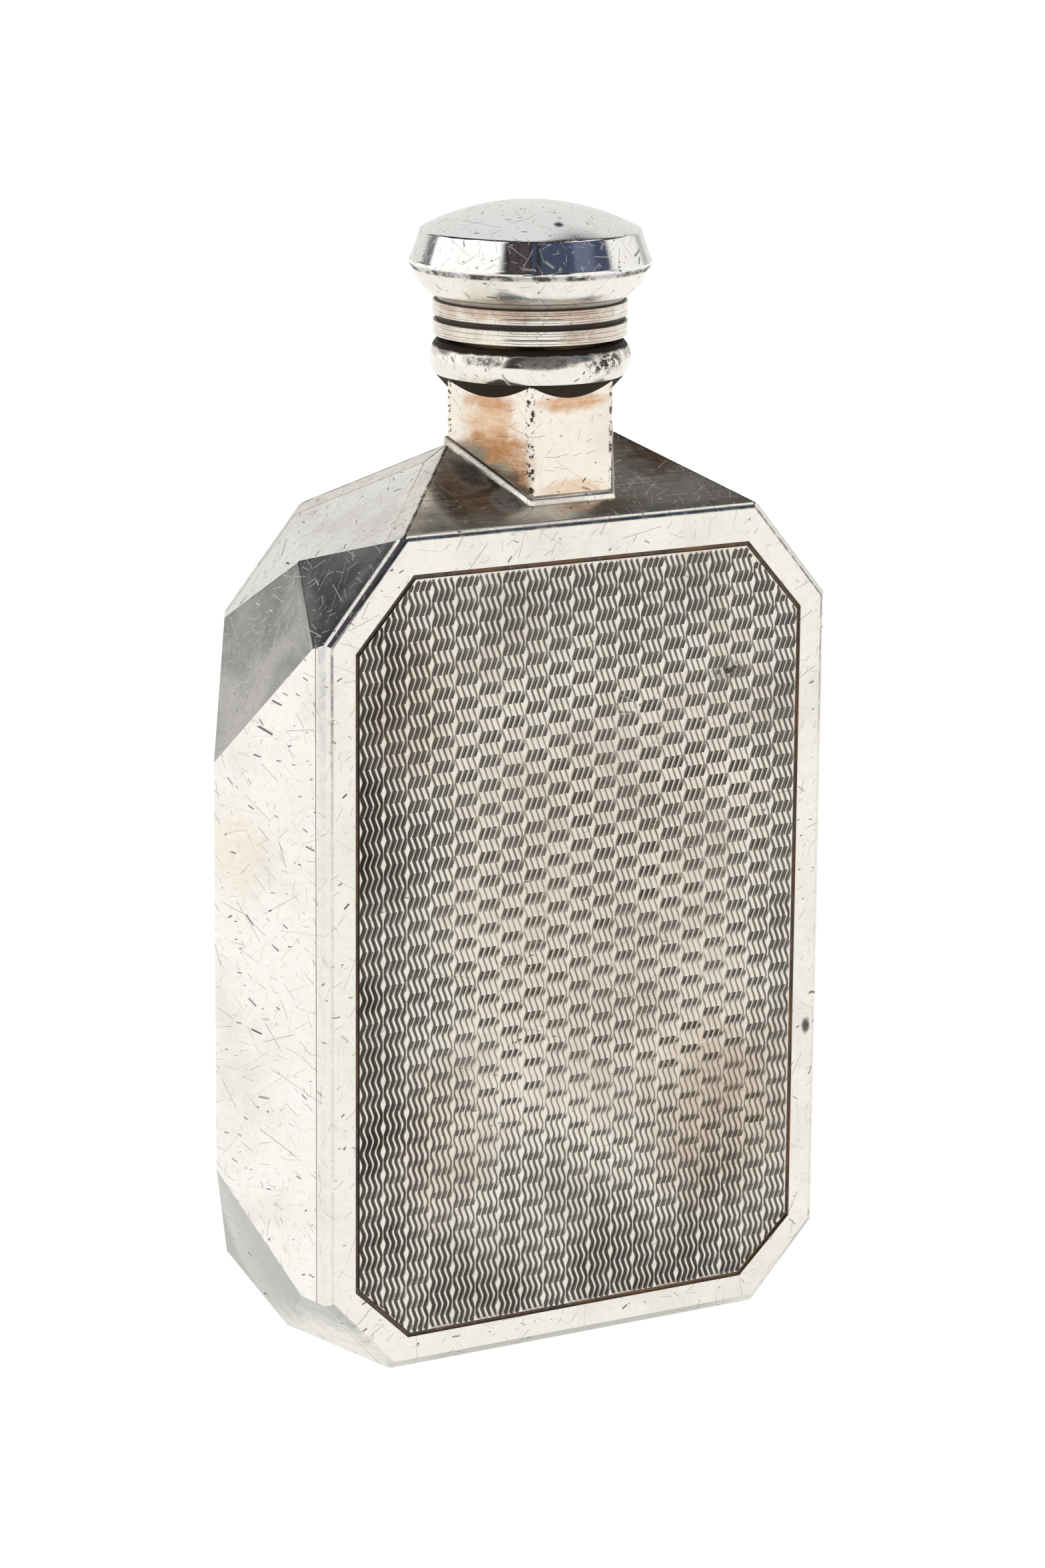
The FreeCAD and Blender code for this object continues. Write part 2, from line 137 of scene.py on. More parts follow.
def strokes(g, point, cell, length, width, keep, seed):
    """Short straight scratches that lie in the surface, one at most to a cell."""
    shifted = g.vector("ADD", point, (seed * 13.7, seed * 7.1, seed * 3.3))
    cells = g.node(
        "ShaderNodeTexVoronoi",
        {"Vector": shifted, "Scale": 1.0 / cell, "Randomness": 1.0},
        voronoi_dimensions="3D",
        feature="F1",
    )
    chance = g.parts(cells.outputs["Color"])
    normal = g.node("ShaderNodeTexCoord").outputs["Normal"]
    random_way = g.vector("SUBTRACT", cells.outputs["Color"], (0.5, 0.5, 0.5))
    way = g.vector("NORMALIZE", g.vector("CROSS_PRODUCT", normal, random_way))
    away = g.vector("SUBTRACT", shifted, cells.outputs["Position"])
    flat = g.vector("SUBTRACT", away, g.scaled(normal, g.vector("DOT_PRODUCT", away, normal)))
    along = g.math("ABSOLUTE", g.vector("DOT_PRODUCT", flat, way))
    across = g.vector("LENGTH", g.vector("CROSS_PRODUCT", flat, way))
    reach = g.math("MULTIPLY", g.math("ADD", g.math("MULTIPLY", chance[1], chance[1]), 0.22), length * 1.3)
    inside = g.step(g.math("DIVIDE", along, reach), 0.75, 1.0, 1.0, 0.0)
    line = g.step(across, width * 0.35, width, 1.0, 0.0)
    present = g.math("LESS_THAN", chance[2], keep)
    strength = g.math("ADD", g.math("MULTIPLY", chance[0], 0.75), 0.25)
    return g.math("MULTIPLY", g.math("MULTIPLY", g.math("MULTIPLY", inside, line), present), strength)


WARM = (0.88, 0.85, 0.775)
PALE = (0.92, 0.905, 0.85)
# dark colour of dirt, also used for painted shade and painted shadow
CRUD_AND_SHADE = (0.035, 0.026, 0.02)

# the line from the neck down to the face's upper corner
HIP_TOP = (10.6, 0, 103.3)
HIP_WAY = (0.6542, 0.6386, -0.405)
ROOF_FOOT = 95.5


def rims_and_roof(g, point, colour):
    """Paints reflections on the rounded rims of the faces, a blue-grey band that is partly wear and a
    dark-blue line, darkens the seam down each hip and brushes the roof.

    Gives the new colour, and where the brushing is light.
    """
    deep, height = g.parts(point)[1], g.parts(point)[2]
    depth = g.math("SUBTRACT", FACE, g.math("ABSOLUTE", deep))
    line = g.math("MULTIPLY", g.step(depth, 0.02, 0.05), g.step(depth, 0.1, 0.18, 1.0, 0.0))
    worn = g.math("MULTIPLY", g.step(depth, 0.35, 0.6), g.step(depth, 0.9, 1.6, 1.0, 0.0))
    patchy = g.step(g.noise(point, 0.7, 4, 0.65), 0.36, 0.58, 0.35, 1.0)
    patchy = g.math("MULTIPLY", patchy, g.step(height, 58.0, 86.0, 0.2, 1.0))
    # painted reflections on the rounded rims: a blue-grey band, partly wear, and a dark-blue line of painted
    # dark reflection
    colour = g.mix(g.math("MULTIPLY", g.math("MULTIPLY", worn, patchy), 0.5), colour, (0.36, 0.39, 0.45))
    colour = g.mix(g.math("MULTIPLY", g.math("MULTIPLY", line, patchy), 0.8), colour, (0.08, 0.10, 0.15))

    folded = g.vector("SUBTRACT", g.vector("ABSOLUTE", point), HIP_TOP)
    from_hip = g.vector("LENGTH", g.vector("CROSS_PRODUCT", folded, HIP_WAY))
    above = g.step(height, ROOF_FOOT, ROOF_FOOT + 0.5)
    seam = g.math("MULTIPLY", g.step(from_hip, 0.13, 0.25, 1.0, 0.0), above)
    seam = g.math("MULTIPLY", g.math("MULTIPLY", seam, patchy), 0.9)
    colour = g.mix(seam, colour, (0.06, 0.045, 0.035))

    roof = g.math("MULTIPLY", g.step(height, ROOF_FOOT, ROOF_FOOT + 0.7), g.step(depth, 0.5, 1.2))
    grain = g.noise(g.vector("MULTIPLY", point, (0.16, 2.6, 2.6)), 1.0, 6, 0.72, 0.25)
    light_grain = g.math("MULTIPLY", roof, g.step(grain, 0.54, 0.68))
    dark_grain = g.math("MULTIPLY", roof, g.step(grain, 0.32, 0.48, 1.0, 0.0))
    colour = g.mix(g.math("MULTIPLY", dark_grain, 0.6), colour, (0.30, 0.25, 0.21))
    return colour, light_grain


def silver(
    name,
    tint=WARM,
    dull=(0.62, 0.58, 0.52),
    dullness=0.35,
    gloss=(0.16, 0.34),
    dings=0.35,
    scuffs=0.6,
    brushed=0.35,
    stains_and_shade=(),
    smudges_and_shade=(),
    waves=0.0,
    darkening=None,
    rim=False,
):
    """Worn silver plate: tarnish in clouds, brushed marks, scratches, dings and stains, and on some pieces
    painted shade and painted reflections.

    The stains are (centre, size, colour, strength): stains, and on some pieces painted shade.
    The dark smudges are of the same form, and some of them are painted shadow. Each of the dark ones
    ends with how whole it is, from broken specks at 0 to solid at 1. The darkening function takes the graph
    and the point and gives where dirt lies, and on some pieces painted shade. rim asks for
    rims_and_roof as well, which paints reflections on the rims.
    """
    material = bpy.data.materials.new(name)
    g = Graph(material)
    point = place(g)
    clouds = g.noise(point, 0.11, 5, 0.6, 0.4)
    fine = g.noise(point, 1.4, 4, 0.65)
    colour = g.mix(g.math("MULTIPLY", g.step(clouds, 0.42, 0.72), dullness), tint, dull)
    colour = g.mix(g.math("MULTIPLY", g.step(fine, 0.45, 0.75), 0.16), colour, (0.55, 0.51, 0.45))
    streak_place = g.vector("MULTIPLY", point, (2.4, 2.4, 0.22))
    streaks = g.noise(streak_place, 1.0, 5, 0.7, 0.2)
    cross_place = g.vector("MULTIPLY", point, (0.3, 0.3, 3.2))
    cross_streaks = g.noise(cross_place, 1.0, 5, 0.7, 0.3)
    pits = g.step(g.noise(point, 3.1, 2, 0.5), 0.71, 0.76)

    long_marks = strokes(g, point, 6.0, 4.6, 0.055, scuffs, 1)
    long_more = strokes(g, point, 3.4, 2.4, 0.045, scuffs, 2)
    fine_marks = strokes(g, point, 1.7, 1.1, 0.035, scuffs, 3)
    knocks = strokes(g, point, 3.1, 0.55, 0.13, dings * 0.6, 4)
    nicks = strokes(g, point, 1.9, 0.3, 0.09, dings * 0.5, 5)
    big_knocks = strokes(g, point, 8.5, 1.3, 0.2, dings * 0.55, 6)
    scratches = largest(g, [long_marks, long_more, fine_marks])
    blows = largest(g, [knocks, nicks, big_knocks])

    colour = g.mix(g.math("MULTIPLY", scratches, 0.5), colour, (0.25, 0.20, 0.15))
    lined = g.math("MULTIPLY", g.step(cross_streaks, 0.45, 0.8), 0.25 * brushed)
    colour = g.mix(lined, colour, (0.45, 0.38, 0.30))
    for centre, size, shade, strength in stains_and_shade:
        mask = g.math("MULTIPLY", spot(g, point, centre, size), strength)
        mask = g.math("MULTIPLY", mask, g.step(cross_streaks, 0.36, 0.6, 0.72, 1.0))
        colour = g.mix(g.math("MULTIPLY", mask, g.step(fine, 0.3, 0.62, 0.8, 1.0)), colour, shade)
    smudge_and_shade = 0.0
    broken = g.step(g.noise(point, 1.7, 4, 0.7, 0.5), 0.46, 0.56)
    for centre, size, strength, whole in smudges_and_shade:
        mask = g.math("MULTIPLY", spot(g, point, centre, size), strength)
        smudge_and_shade = g.math("MAXIMUM", smudge_and_shade, g.math("MULTIPLY", mask, g.math("MAXIMUM", broken, whole)))
    dirt_and_shade = g.math("MAXIMUM", g.math("MULTIPLY", blows, 0.85), g.math("MULTIPLY", pits, 0.55 * dings))
    dirt_and_shade = g.math("MAXIMUM", dirt_and_shade, smudge_and_shade)
    if darkening:
        dirt_and_shade = g.math("MAXIMUM", dirt_and_shade, darkening(g, point))
    if rim:
        colour, light_grain = rims_and_roof(g, point, colour)
    # the dark mix is dirt, and on some pieces painted shade and painted shadow
    colour = g.mix(dirt_and_shade, colour, CRUD_AND_SHADE)

    rough = g.step(clouds, 0.3, 0.75, gloss[0], gloss[1])
    rough = g.math("ADD", rough, g.math("MULTIPLY", g.math("SUBTRACT", streaks, 0.5), 0.12 * brushed))
    if rim:
        rough = g.math("ADD", rough, g.math("MULTIPLY", light_grain, 0.12))
    rough = g.math("ADD", rough, g.math("MULTIPLY", dirt_and_shade, 0.35), clamp=True)
    metal = g.math("SUBTRACT", 1.0, g.math("MULTIPLY", dirt_and_shade, 0.95))
    shine = g.math("SUBTRACT", 0.5, g.math("MULTIPLY", dirt_and_shade, 0.42))

    lines = g.math("ADD", streaks, cross_streaks)
    height = g.math("MULTIPLY", lines, 0.006 * brushed)
    height = g.math("ADD", height, g.math("MULTIPLY", fine, 0.003))
    height = g.math("ADD", height, g.math("MULTIPLY", clouds, waves))
    height = g.math("SUBTRACT", height, g.math("MULTIPLY", scratches, 0.022))
    height = g.math("SUBTRACT", height, g.math("MULTIPLY", blows, 0.05))
    bump = g.node("ShaderNodeBump", {"Height": height})
    bump.inputs["Strength"].default_value = 1.0
    bump.inputs["Distance"].default_value = MM
    shader = g.node(
        "ShaderNodeBsdfPrincipled",
        {
            "Base Color": colour,
            "Roughness": rough,
            "Metallic": metal,
            "Specular IOR Level": shine,
            "Normal": bump.outputs[0],
        },
    )
    g.node("ShaderNodeOutputMaterial", {"Surface": shader.outputs[0]})
    return material


# meshes


def show(name, data, node, body, material, smooth=40.0):
    """Puts a mesh in the scene as the piece that stands for a CAD node."""
    mesh = bpy.data.meshes.new(name)
    bmesh.ops.recalc_face_normals(data, faces=data.faces)
    limit = math.radians(smooth)
    for face in data.faces:
        face.smooth = True
    for edge in data.edges:
        edge.smooth = len(edge.link_faces) == 2 and edge.calc_face_angle(0.0) < limit
    data.to_mesh(mesh)
    data.free()
    piece = bpy.data.objects.new(name, mesh)
    bpy.context.scene.collection.objects.link(piece)
    weigh = piece.modifiers.new("weigh", "WEIGHTED_NORMAL")
    weigh.keep_sharp = True
    weigh.weight = 80
    mesh.materials.append(material)
    if any(face.material_index for face in mesh.polygons):
        mesh.materials.append(grime)
        mesh.materials.append(shaded_foot_silver)
    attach(piece, body)
    if node:
        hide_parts(node)
    return piece


BEND_REACH = 0.9


def on_bend(edge):
    """Whether an edge is a soft bend where the big upper flat meets the small corner flats."""
    if len(edge.link_faces) != 2 or not edge.is_convex:
        return False
    upward = all(face.normal.z > 0.3 for face in edge.link_faces)
    return upward and 12 < math.degrees(edge.calc_face_angle(0.0)) < 20 and edge.calc_length() > 5 * MM


SEAM_WIDTH = 0.09
WORN_STEPS = 3
# below this height, facets that face down get a darker silver, painted shade
FOOT_HIGH = 30


def worn_copy(node, width, least=20.0):
    """A CAD node's mesh with its outward edges worn round.

    Material 1, grime, goes on its cut edges and the floor of the panel's recess. Material 2,
    a darker silver that paints shade, goes on the facets near the foot that face down.
    """
    data = bmesh.new()
    data.from_mesh(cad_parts[node].data)
    bmesh.ops.remove_doubles(data, verts=data.verts, dist=2e-6)
    bmesh.ops.dissolve_limit(
        data, angle_limit=math.radians(0.6), verts=data.verts, edges=data.edges, use_dissolve_boundaries=False
    )
    bends = [edge for edge in data.edges if on_bend(edge)]
    if bends:
        bmesh.ops.bevel(
            data, geom=bends, offset=BEND_REACH * MM, offset_type="OFFSET", segments=5, profile=0.5,
            affect="EDGES", clamp_overlap=True, loop_slide=True,
        )
    for low, high, reach, steps, paint in (
        (70, 180, SEAM_WIDTH, 1, 1),
        (least, 70, width, WORN_STEPS, -1),
    ):
        low, high = math.radians(low), math.radians(high)
        worn = [
            edge for edge in data.edges
            if len(edge.link_faces) == 2 and edge.is_convex and low < edge.calc_face_angle(0.0) <= high
            and not any(face.material_index for face in edge.link_faces)
        ]
        bmesh.ops.bevel(
            data, geom=worn, offset=reach * MM, offset_type="OFFSET", segments=steps, profile=0.5,
            affect="EDGES", clamp_overlap=True, loop_slide=True, material=paint,
        )
    for face in data.faces:
        middle = face.calc_center_median()
        depth = FACE - abs(middle.y) / MM
        if abs(face.normal.y) > 0.99 and abs(depth - RECESS) < 0.01:
            face.material_index = 1
        # painted shade: facets near the foot that face down get the darker silver
        elif face.material_index == 0 and -0.95 < face.normal.z < -0.2 and middle.z < FOOT_HIGH * MM:
            face.material_index = 2
    bmesh.ops.triangulate(data, faces=[face for face in data.faces if len(face.verts) > 4])
    return data


NECK_FLAT = 9.18
BEAD_SHARE = 0.6


def slim_bead():
    """The solder bead at the neck's foot, drawn in towards the neck."""
    data = worn_copy("neck_solder", 0.1, 30)
    ways = [Vector((math.sin(turn), -math.cos(turn), 0)) for turn in (0, math.pi / 3, -math.pi / 3)]
    for vertex in data.verts:
        reach = max(abs(vertex.co.dot(way)) for way in ways) / MM
        if reach > NECK_FLAT:
            share = (NECK_FLAT + BEAD_SHARE * (reach - NECK_FLAT)) / reach
            vertex.co.x *= share
            vertex.co.y *= share
    return data


def arc(start, finish, radius, side, count=10):
    """Points of an arc between two points, without its first, swelling to the right (1) or left (-1)."""
    start, finish = np.array(start, float), np.array(finish, float)
    chord = finish - start
    length = float(np.hypot(*chord))
    drop = math.sqrt(radius**2 - length**2 / 4)
    right = np.array([chord[1], -chord[0]]) / length
    centre = (start + finish) / 2 - side * right * drop
    first = math.atan2(*(start - centre)[::-1])
    turn = 2 * math.asin(length / 2 / radius) * side
    angles = first + turn * np.arange(1, count + 1) / count
    return [(centre[0] + radius * math.cos(a), centre[1] + radius * math.sin(a)) for a in angles]


def softened(points, radii):
    """A closed outline with some corners rounded; radii maps a corner's number to its radius."""
    result = []
    count = len(points)
    for i, corner in enumerate(points):
        here = np.array(corner, float)
        if i not in radii:
            result.append(tuple(here))
            continue
        before = np.array(points[i - 1], float) - here
        after = np.array(points[(i + 1) % count], float) - here
        reach = min(radii[i], 0.45 * np.hypot(*before), 0.45 * np.hypot(*after))
        start = here + before / np.hypot(*before) * reach
        finish = here + after / np.hypot(*after) * reach
        for t in np.linspace(0, 1, 5):
            result.append(tuple((1 - t) ** 2 * start + 2 * t * (1 - t) * here + t * t * finish))
    return result


def lathe(points, segments=192, dents=()):
    """A closed outline of radius and height turned about Z.

    dents are (angle, height, size, depth), pressed straight in towards the axis.
    """
    data = bmesh.new()
    turns = [2 * math.pi * k / segments for k in range(segments)]
    rings = []
    for radius, height in points:
        if radius < 1e-6:
            rings.append([data.verts.new((0, 0, height * MM))] * segments)
            continue
        ring = []
        for turn in turns:
            inward = 0.0
            for angle, level, size, depth in dents:
                swing = (turn - math.radians(angle) + math.pi) % (2 * math.pi) - math.pi
                away = math.hypot(swing * radius, height - level) / size
                inward = max(inward, depth * math.exp(-2.5 * away * away))
            reach = (radius - inward) * MM
            ring.append(data.verts.new((reach * math.cos(turn), reach * math.sin(turn), height * MM)))
        rings.append(ring)
    for i, ring in enumerate(rings):
        following = rings[(i + 1) % len(rings)]
        for k in range(segments):
            after = (k + 1) % segments
            corners = []
            for corner in (ring[k], ring[after], following[after], following[k]):
                if corner not in corners:
                    corners.append(corner)
            if len(corners) > 2:
                data.faces.new(corners)
    return data


# engine turned panels

PANEL_HALF = 28.55
PANEL_LOW = 4.2
PANEL_HIGH = 90.85
PANEL_CUTS = ((7.0, 7.9), (6.5, 6.1))
FACE = 12.3
RECESS = 0.25
BANDS = 19
LINES = 4
PERIOD = 2.75
SWING = 0.26
GROOVE_HALF = 0.335
GROOVE_DEEP = 0.2
# how far the panel stays under the face and reaches into the floor of its recess
PANEL_SUNK = 0.012
PANEL_BEDDED = 0.01
STEPS_PER_PERIOD = 8
SHARP_SHARE = 0.8
SHALLOWEST = 0.9


def panel_limit(height):
    """Half the panel's width at a height."""
    high_wide, high_tall = PANEL_CUTS[0]
    low_wide, low_tall = PANEL_CUTS[1]
    high = (height - (PANEL_HIGH - high_tall)) / high_tall * high_wide
    low = ((PANEL_LOW + low_tall) - height) / low_tall * low_wide
    return PANEL_HALF - np.maximum(0, np.maximum(high, low))


def engraved_panel(side):
    """Bands of zigzag V grooves, each band's zigzag opposite to its neighbours'."""
    rows = int((PANEL_HIGH - PANEL_LOW) / PERIOD * STEPS_PER_PERIOD)
    heights = np.linspace(PANEL_LOW, PANEL_HIGH, rows)
    phase = heights / PERIOD
    triangle = 2 * np.abs(2 * (phase - np.floor(phase + 0.5))) - 1
    zigzag = SHARP_SHARE * triangle - (1 - SHARP_SHARE) * np.cos(2 * np.pi * phase)
    band = 2 * PANEL_HALF / BANDS
    columns, depths = [], []
    for b in range(BANDS):
        left = -PANEL_HALF + b * band
        sway = zigzag * SWING * (1 if b % 2 else -1)
        columns.append(np.full(rows, left))
        depths.append(np.zeros(rows))
        for k in range(LINES):
            middle = left + band / LINES * (k + 0.5) + sway
            room = np.minimum(middle - left, left + band - middle)
            columns.append(np.maximum(middle - GROOVE_HALF, left))
            columns.append(middle)
            columns.append(np.minimum(middle + GROOVE_HALF, left + band))
            depths.append(np.zeros(rows))
            depths.append(GROOVE_DEEP * np.clip(room / GROOVE_HALF, SHALLOWEST, 1))
            depths.append(np.zeros(rows))
    columns.append(np.full(rows, PANEL_HALF))
    depths.append(np.zeros(rows))
    across = np.array(columns).T
    depth = np.array(depths).T
    limit = panel_limit(heights)[:, None]
    clipped = np.abs(across) >= limit - 1e-6
    across = np.clip(across, -limit, limit)
    depth[clipped] = 0
    depth[0] = depth[-1] = 0
    front = side * (FACE - PANEL_SUNK - depth)
    count = across.shape[1]

    data = bmesh.new()
    grid = [
        [data.verts.new((across[j, i] * MM, front[j, i] * MM, heights[j] * MM)) for i in range(count)]
        for j in range(rows)
    ]
    floor = side * (FACE - RECESS - PANEL_BEDDED) * MM
    rim = [
        [data.verts.new((edge * limit[j, 0] * MM, floor, heights[j] * MM)) for edge in (-1, 1)]
        for j in range(rows)
    ]
    for j in range(rows - 1):
        low, high = grid[j], grid[j + 1]
        for i in range(count - 1):
            data.faces.new((low[i], low[i + 1], high[i + 1], high[i]))
        data.faces.new((rim[j][0], rim[j][1], rim[j + 1][1], rim[j + 1][0]))
        data.faces.new((low[0], rim[j][0], rim[j + 1][0], high[0]))
        data.faces.new((low[-1], rim[j][1], rim[j + 1][1], high[-1]))
    for j in (0, rows - 1):
        data.faces.new([*grid[j], rim[j][1], rim[j][0]])
    bmesh.ops.remove_doubles(data, verts=data.verts, dist=1e-7)
    bmesh.ops.triangulate(data, faces=[face for face in data.faces if len(face.verts) > 4])
    return data


def groove_dirt(side):
    """Dirt in the engraved grooves: it fills them near the panel's edge, and is a thin line further in."""

    def darkening(g, point):
        across, deep, height = g.parts(point)
        depth = g.math("SUBTRACT", FACE, g.math("ABSOLUTE", deep))
        across = g.math("MULTIPLY", across, -side)
        left = g.step(across, -28.5, -12.0, 0.72, 0.0)
        foot = g.step(height, 5.0, 34.0, 0.55, 0.0)
        top = g.step(height, 70.0, 90.0, 0.0, 0.4)
        right = g.step(across, 20.0, 29.0, 0.0, 0.4)
        clouds = g.step(g.noise(point, 0.09, 5, 0.62, 0.3), 0.36, 0.66, -0.12, 0.14)
        much = largest(g, [left, foot, top, right])
        much = g.math("ADD", g.math("ADD", much, clouds), 0.12, clamp=True)
        least = g.math("SUBTRACT", 0.16, g.math("MULTIPLY", much, 0.15))
        made = g.math("DIVIDE", g.math("SUBTRACT", depth, least), 0.045, clamp=True)
        strong = g.math("ADD", g.math("MULTIPLY", much, 0.45), 0.55, clamp=True)
        return g.math("MULTIPLY", made, strong)

    return darkening


def edge_pits(*edges):
    """Dark pits along upright edges, each given across, deep, its width and its strength."""

    def darkening(g, point):
        pits = g.step(g.noise(point, 1.9, 3, 0.6), 0.5, 0.6)
        marks = []
        for across, deep, width, strength in edges:
            away = g.vector("SUBTRACT", point, (across, deep, 0))
            flat = g.vector("LENGTH", g.vector("MULTIPLY", away, (1, 1, 0)))
            near = g.step(flat, width * 0.4, width, 1.0, 0.0)
            marks.append(g.math("MULTIPLY", g.math("MULTIPLY", near, pits), strength))
        return largest(g, marks)

    return darkening


def ring_dirt(level, width, strength):
    """Broken dirt along a circle at a height."""

    def darkening(g, point):
        away = g.math("ABSOLUTE", g.math("SUBTRACT", g.parts(point)[2], level))
        near = g.step(away, width * 0.3, width, 1.0, 0.0)
        broken = g.step(g.noise(point, 0.5, 4, 0.65), 0.42, 0.58, 0.25, 1.0)
        return g.math("MULTIPLY", g.math("MULTIPLY", near, broken), strength)

    return darkening


def mouth_shade_and_dirt(radius, level):
    """Painted shade and dark reflection under the cap's skirt, with old dirt, on the collar's top and inner
    side.
    """

    def darkening(g, point):
        flat = g.vector("LENGTH", g.vector("MULTIPLY", point, (1, 1, 0)))
        inner = g.step(flat, radius - 0.1, radius + 0.25, 1.0, 0.0)
        ragged = g.math("MULTIPLY", g.math("SUBTRACT", g.noise(point, 0.5, 4), 0.5), 0.7)
        height = g.math("ADD", g.parts(point)[2], ragged)
        return g.math("MULTIPLY", inner, g.step(height, level - 0.18, level + 0.12))

    return darkening


def shade_black(g, point):
    """Painted shade with some tarnish: black all over, thinner in a few places."""
    return g.step(g.noise(point, 0.6, 3), 0.45, 0.8, 1.0, 0.85)


def grooves_dirt_and_shade(levels, strength, inner, outer):
    """Dirt in the turned grooves of the skirt, and painted shade in the top groove under the bowl."""

    def darkening(g, point):
        flat = g.vector("LENGTH", g.vector("MULTIPLY", point, (1, 1, 0)))
        sunk = g.step(flat, inner, outer, 1.0, 0.0)
        height = g.parts(point)[2]
        rings = 0.0
        for low, high in levels:
            above = g.step(height, low - 0.12, low)
            inside = g.math("MULTIPLY", above, g.step(height, high, high + 0.12, 1.0, 0.0))
            rings = g.math("MAXIMUM", rings, inside)
        sunk = g.math("MULTIPLY", sunk, g.step(height, 119.0, 119.35, 1.0, 0.35))
        return g.math("MULTIPLY", g.math("MAXIMUM", g.math("MULTIPLY", rings, 0.5), sunk), strength)

    return darkening


# finishes

grime = silver(
    "grime", tint=(0.10, 0.075, 0.06), dull=(0.34, 0.19, 0.10), dullness=0.7, gloss=(0.4, 0.6),
    dings=0.1, scuffs=0.1,
)
# painted shade: a darker copy of the silver for facets near the foot that face down
shaded_foot_silver = silver(
    "shaded_foot_silver", tint=(0.52, 0.52, 0.485), dullness=0.3, gloss=(0.2, 0.36), dings=0.5, scuffs=0.8,
    stains_and_shade=[
        ((-27, -6, 2), (12, 12, 7), (0.84, 0.82, 0.74), 0.95),
        ((27, -6, 2), (12, 12, 7), (0.84, 0.82, 0.74), 0.95),
    ],
)
front_silver = silver(
    "front_silver",
    rim=True,
    dullness=0.28,
    gloss=(0.15, 0.28),
    dings=0.35,
    stains_and_shade=[
        ((-12, -6, 101), (5, 6, 6), (0.36, 0.25, 0.17), 0.6),
        ((14, -2, 101.5), (6.5, 8, 7), (0.30, 0.15, 0.07), 0.95),
        ((3, -10.5, 96.8), (8, 2, 1.4), (0.50, 0.30, 0.18), 0.7),
    ],
    smudges_and_shade=[
        ((31.0, -12.3, 33), (0.8, 1, 1.2), 0.85, 1.0),
        # painted shadow of the neck on the roof at its left foot: this smudge and the next
        ((-10.4, -4.5, 100.6), (2.6, 4.5, 2.8), 0.9, 0.85),
        ((-7.6, -8.6, 98), (3.0, 2.6, 2.2), 0.85, 0.7),
    ],
)
back_silver = silver("back_silver", rim=True, dullness=0.3, gloss=(0.15, 0.3), dings=0.4)
side_silver = silver(
    "side_silver", tint=PALE, dullness=0.3, gloss=(0.15, 0.3), dings=0.55, scuffs=0.9,
    stains_and_shade=[
        ((-38, 0, 60), (4, 9, 9), (0.80, 0.64, 0.48), 0.4),
        ((-38, 2, 32), (4, 9, 14), (0.70, 0.70, 0.62), 0.35),
    ],
)
base_silver = silver("base_silver", dullness=0.5, gloss=(0.25, 0.45), dings=0.6, scuffs=0.9)
panel_tint = (0.83, 0.785, 0.70)
panel_silver = silver(
    "panel_silver",
    tint=panel_tint,
    dull=(0.60, 0.54, 0.46),
    dullness=0.5,
    gloss=(0.16, 0.3),
    dings=0.04,
    scuffs=0.1,
    brushed=0.1,
    stains_and_shade=[
        ((19, -12, 25), (12, 3, 15), (0.42, 0.28, 0.17), 0.5),
        ((4, -12, 50), (26, 3, 30), (0.66, 0.55, 0.44), 0.35),
        ((-22, -12, 76), (8, 3, 12), (0.62, 0.42, 0.28), 0.25),
        ((-18, -12, 26), (8, 3, 12), (0.62, 0.42, 0.28), 0.2),
    ],
    smudges_and_shade=[((19.5, -12.2, 76.5), (3.2, 1, 1.3), 0.95, 0.2)],
    darkening=groove_dirt(-1),
)
back_panel_silver = silver(
    "back_panel_silver", tint=panel_tint, dull=(0.55, 0.50, 0.44), dullness=0.6, gloss=(0.16, 0.3),
    dings=0.04, scuffs=0.1, brushed=0.1,
    stains_and_shade=[((-10, 12, 40), (20, 3, 30), (0.62, 0.50, 0.40), 0.5)],
    darkening=groove_dirt(1),
)
neck_silver = silver(
    "neck_silver",
    tint=(0.90, 0.84, 0.74),
    dullness=0.25,
    gloss=(0.16, 0.3),
    dings=0.15,
    scuffs=0.5,
    stains_and_shade=[
        ((-7.9, -5.0, 105.0), (4.2, 5, 5.4), (0.68, 0.40, 0.20), 0.85),
        ((-6.9, -6.6, 102.2), (4.2, 4.4, 4.6), (0.45, 0.21, 0.08), 0.95),
        ((-6.2, -7.8, 99.6), (2.2, 2.6, 2.6), (0.30, 0.13, 0.05), 0.95),
        ((-8.6, -3.6, 103.2), (3.2, 4, 2.6), (0.42, 0.20, 0.08), 0.95),
        # painted shade: this spot and the three below it darken the foot of the neck's left face
        ((-9.1, -2.6, 102.5), (2.4, 3.4, 1.9), (0.20, 0.21, 0.17), 0.95),
        ((-7.2, -5.9, 100.4), (2.4, 3.0, 2.0), (0.22, 0.23, 0.18), 0.95),
        ((-5.9, -8.2, 98.5), (1.6, 2.2, 1.5), (0.08, 0.06, 0.05), 0.95),
        ((-7.4, -5.6, 100.1), (3.4, 4.0, 1.1), (0.12, 0.08, 0.05), 0.9),
        ((0, -9.2, 108.4), (6, 2, 1.4), (0.62, 0.30, 0.12), 0.9),
        ((-8, -4.6, 108.4), (4, 5, 1.3), (0.55, 0.25, 0.10), 0.8),
        ((0, -9.2, 98.6), (6, 2, 1.6), (0.72, 0.42, 0.22), 0.6),
        ((8, 3, 101), (4, 8, 5), (0.40, 0.20, 0.09), 0.8),
        ((0, 9, 101), (8, 3, 6), (0.50, 0.28, 0.14), 0.5),
    ],
    darkening=edge_pits((-5.3, -9.18, 0.75, 1.0), (5.3, -9.18, 0.5, 0.9), (-10.6, 0, 0.6, 0.9)),
)
